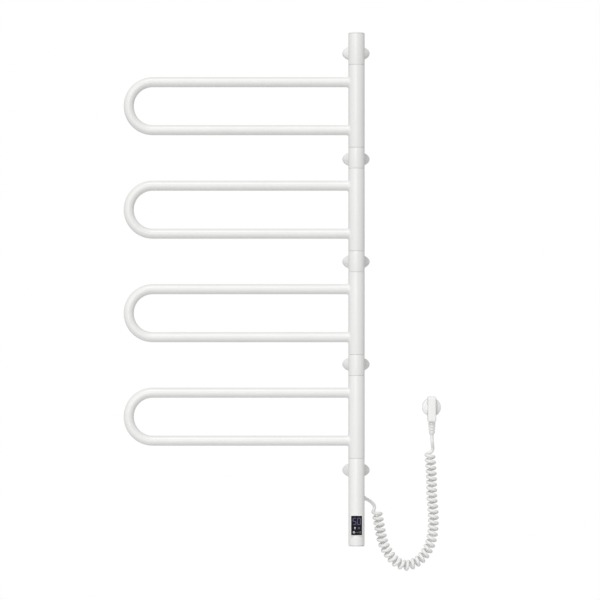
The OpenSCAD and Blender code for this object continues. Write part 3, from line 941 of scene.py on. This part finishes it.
def make_post(i):
    """A post from the wall plate's boss to the column, saddle-cut with a small root bead."""
    lo, hi = box_mm(f"post_{i}")
    z = (lo.z + hi.z) / 2
    column_r = BRACKET_R[i - 1]

    def flat(y, r):
        return oval(r, r, y, z, ROD_SIDES)

    def saddle(gap, proud):
        """The post's end against the column, a gap from it and proud of the post."""
        ring = []
        for k in range(ROD_SIDES):
            phi = TURN * k / ROD_SIDES
            r = POST_R + proud
            reach = math.sqrt(column_r ** 2 - (r * math.cos(phi)) ** 2)
            ring.append((r * math.cos(phi), AXIS_Y + reach + SEAT_GAP + gap, z + r * math.sin(phi)))
        return ring

    rings = [flat(hi.y, POST_R - 0.8), flat(hi.y - 0.1, POST_R - 0.4), flat(hi.y - 0.6, POST_R)]
    rings += [flat(y, POST_R) for y in (-15, -25, -35, AXIS_Y + column_r + 5)]
    rings += [saddle(gap, proud) for gap, proud in POST_BEAD]
    post = loft(f"bracket_post_{i}", rings, sharp=45)
    return finish_piece(post, "column", POWDER, [f"post_{i}"])


for i in range(1, 6):
    make_rosette(i)
    make_post(i)


# ---------------------------------------------------------------- display
def block_ring(width, height, corner, depth):
    """A rounded rectangle in front of the column's axis; a depth of None lies on the housing."""
    ring = []
    for x, z in rounded_rectangle(width, height, corner):
        d = math.sqrt(HOUSING_R ** 2 - x * x) + SEAT_GAP if depth is None else depth
        ring.append((x, AXIS_Y - d, DISPLAY_Z + z))
    return ring


def make_bezel():
    """The display's frame: its outside, its rounded front, the glass's recess, and its neck."""
    front = AXIS_Y - bezel_lo.y
    glass_back = AXIS_Y - glass_hi.y - 0.1
    w, h = BEZEL_W, BEZEL_H
    rings = [
        block_ring(w, h, 1.3, None),
        block_ring(w, h, 1.3, front - 0.3),
        block_ring(w - 0.08, h - 0.08, 1.28, front - 0.13),
        block_ring(w - 0.26, h - 0.26, 1.2, front - 0.03),
        block_ring(w - 0.5, h - 0.5, 1.1, front),
    ]
    w, h = GLASS_W + 0.2, GLASS_H + 0.2
    rings += [
        block_ring(w + 0.1, h + 0.1, 0.8, front),
        block_ring(w, h, 0.75, front - 0.06),
        block_ring(w, h, 0.75, front - 0.2),
        block_ring(w, h, 0.75, glass_back),
    ]
    w, h = NECK_W - 1.8, NECK_H - 1.8
    rings += [
        block_ring(w, h, 0.6, glass_back),
        block_ring(w, h, 0.6, BEZEL_BACK),
        block_ring(NECK_W, NECK_H, 0.8, BEZEL_BACK),
        block_ring(NECK_W, NECK_H, 0.8, None),
    ]
    bezel = loft("display_frame", rings, looped=True, sharp=40)
    return finish_piece(bezel, "column", BEZEL_PLASTIC, ["display_bezel"])


def make_glass():
    """The glass, flat in front; its fine edge is shaded apart so that the face stays flat."""
    front, back = AXIS_Y - glass_lo.y, AXIS_Y - glass_hi.y
    w, h = GLASS_W, GLASS_H
    rings = [
        block_ring(w - 0.3, h - 0.3, 0.6, back),
        block_ring(w, h, 0.7, back + 0.15),
        block_ring(w, h, 0.7, front - 0.1),
        block_ring(w - 0.06, h - 0.06, 0.67, front - 0.03),
        block_ring(w - 0.2, h - 0.2, 0.6, front),
    ]
    glass = loft("touch_glass", rings, sharp=8)
    return finish_piece(glass, "column", GLASS, ["display_glass"])


make_bezel()
make_glass()

MARK_FRONT = AXIS_Y - glass_lo.y + 0.03
MARK_BACK = AXIS_Y - glass_lo.y - 0.12


def mark(outline):
    """A thin lit plate in the glass; its outline's (x, z) start from the display's centre."""
    return loft_data([[(x, AXIS_Y - depth, DISPLAY_Z + z) for x, z in outline]
                      for depth in (MARK_BACK, MARK_FRONT)])


def bar(x0, z0, x1, z1, thick):
    """A segment with pointed ends between two points."""
    a, b = Vector((x0, z0)), Vector((x1, z1))
    t = (b - a).normalized()
    n = Vector((-t.y, t.x)) * thick / 2
    tip = t * thick / 2
    return [tuple(p) for p in (a, a + tip + n, b - tip + n, b, b - tip - n, a + tip - n)]


def circle_points(x, z, r, angles):
    return [(x + r * math.cos(a), z + r * math.sin(a)) for a in angles]


def disc(x, z, r, count=32):
    return circle_points(x, z, r, [TURN * k / count for k in range(count)])


def arc(x, z, r, start, end, thick, count=24):
    """An open ring; its angles are in turns."""
    angles = [TURN * (start + (end - start) * k / count) for k in range(count + 1)]
    return (circle_points(x, z, r + thick / 2, angles)
            + circle_points(x, z, r - thick / 2, angles)[::-1])


# Seven-segment strokes as ends in shares of the digit's width and height
SEGMENTS = {
    "a": (0, 1, 1, 1), "b": (1, 1, 1, 0.5), "c": (1, 0.5, 1, 0), "d": (0, 0, 1, 0),
    "e": (0, 0.5, 0, 0), "f": (0, 1, 0, 0.5), "g": (0, 0.5, 1, 0.5),
}
DIGITS = {"5": "afgcd", "0": "abcdef"}
DIGIT_W, DIGIT_H = 5.7, 12.6
DIGIT_FOOT = 1.9
STROKE, STROKE_GAP = 1.05, 0.12


def make_marks():
    """The two digits, and plain signs below them in a bright group and a dim one."""
    digits = []
    for left, digit in ((-7.1, "5"), (1.8, "0")):
        for key in DIGITS[digit]:
            x0, z0, x1, z1 = SEGMENTS[key]
            a = Vector((left + DIGIT_W * x0, DIGIT_FOOT + DIGIT_H * z0))
            b = Vector((left + DIGIT_W * x1, DIGIT_FOOT + DIGIT_H * z1))
            gap = (b - a).normalized() * STROKE_GAP
            digits.append(mark(bar(*(a + gap), *(b - gap), STROKE)))

    # a round heat sign on its stem, then an on-off ring with its stroke
    bright = [mark(disc(-3.3, -4.7, 1.5)),
              mark(bar(-3.3, -8.1, -3.3, -6.5, 0.9)),
              mark(arc(-5.3, -13.6, 1.7, 0.29, 1.21, 0.85)),
              mark(bar(-5.3, -13.9, -5.3, -11.4, 0.8))]

    # a small ring with its stroke, a row of three dashes, then a little frame of four strokes
    dim = [mark(arc(4.5, -5.2, 1.5, 0.3, 1.2, 0.6)),
           mark(bar(4.5, -5.3, 4.5, -3.3, 0.5))]
    dim += [mark(bar(x, -13.6, x + 1.9, -13.6, 1.0)) for x in (-2.5, 0.1, 2.7)]
    dim += [mark(bar(5.6, z, 8.6, z, 0.7)) for z in (-15.0, -12.2)]
    dim += [mark(bar(x, -14.5, x, -12.7, 0.7)) for x in (5.7, 8.5)]

    for name, marks, glow in (("display_digits", digits, DIGIT_GLOW),
                              ("display_bright_marks", bright, ICON_GLOW),
                              ("display_dim_marks", dim, ICON_DIM)):
        finish_piece(joined(name, marks), "column", glow, [])


make_marks()


# ---------------------------------------------------------------- CAD nodes that stay
KEPT = {
    "mast": ZINC, "spacer_rings": NYLON, "grub_screws": ZINC,
    "display_board": BOARD, "control_board": BOARD, "relay": BLACK_PLASTIC,
    "terminal_block": NYLON, "wiring_harness": SHEATH,
}
KEPT.update({f"wall_plate_{i}": ZINC for i in range(1, 6)})
KEPT.update({f"bushes_{i}": NYLON for i in range(1, 5)})
KEPT.update({f"heating_cable_{i}": SHEATH for i in range(1, 5)})
for node, material in KEPT.items():
    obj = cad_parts[node]
    if not obj.material_slots:
        obj.data.materials.append(material)
    for place in obj.material_slots:
        place.material = material

# ---------------------------------------------------------------- floor, world and lights
FLOOR_Z = -900
FLOOR_R = 2000
FLOOR_THICK = 20


def make_floor():
    """A round pale floor below the object, for its bounce light."""
    profile = [(FLOOR_R, FLOOR_Z), (FLOOR_R, FLOOR_Z - FLOOR_THICK)]
    floor = loft("studio_floor", lathe_rings(profile, upright(0, 0), 96))
    n = Nodes("pale_floor")
    n.set(Roughness=0.8)
    n.colour(n.noise(3, 2), [(0.3, (0.78, 0.78, 0.775)), (0.7, (0.81, 0.81, 0.805))])
    floor.data.materials.append(n.material)
    floor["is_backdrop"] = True


make_floor()

# The surroundings light the object at this strength and show white behind it
AMBIENT = 0.492
# Soft lamps as (turn to the left of the front, height, strength, softness), angles in degrees
LAMPS = {
    "low_lamp": (11, 8, 0.555, 16),
    "high_lamp": (11, 52, 0.947, 16),
    "left_lamp": (38, 20, 0.33, 20),
}

world = bpy.data.worlds.new("studio")
bpy.context.scene.world = world
world.use_nodes = True
tree = world.node_tree
tree.nodes.clear()
path = tree.nodes.new("ShaderNodeLightPath")
mix = tree.nodes.new("ShaderNodeMixShader")
out = tree.nodes.new("ShaderNodeOutputWorld")
tree.links.new(path.outputs["Is Camera Ray"], mix.inputs["Fac"])
for place, strength in ((1, AMBIENT), (2, 1.0)):
    background = tree.nodes.new("ShaderNodeBackground")
    background.inputs["Color"].default_value = (1, 1, 1, 1)
    background.inputs["Strength"].default_value = strength
    tree.links.new(background.outputs["Background"], mix.inputs[place])
tree.links.new(mix.outputs["Shader"], out.inputs["Surface"])

for name, (turn, height, strength, softness) in LAMPS.items():
    lamp = bpy.data.objects.new(name, bpy.data.lights.new(name, "SUN"))
    bpy.context.collection.objects.link(lamp)
    lamp.data.energy = strength
    lamp.data.angle = math.radians(softness)
    a, e = math.radians(turn), math.radians(height)
    source = Vector((-math.sin(a) * math.cos(e), -math.cos(a) * math.cos(e), math.sin(e)))
    lamp.rotation_euler = source.to_track_quat("Z", "Y").to_euler()

bpy.context.scene.view_settings.view_transform = "Standard"

# ---------------------------------------------------------------- sizes
lo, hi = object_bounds()
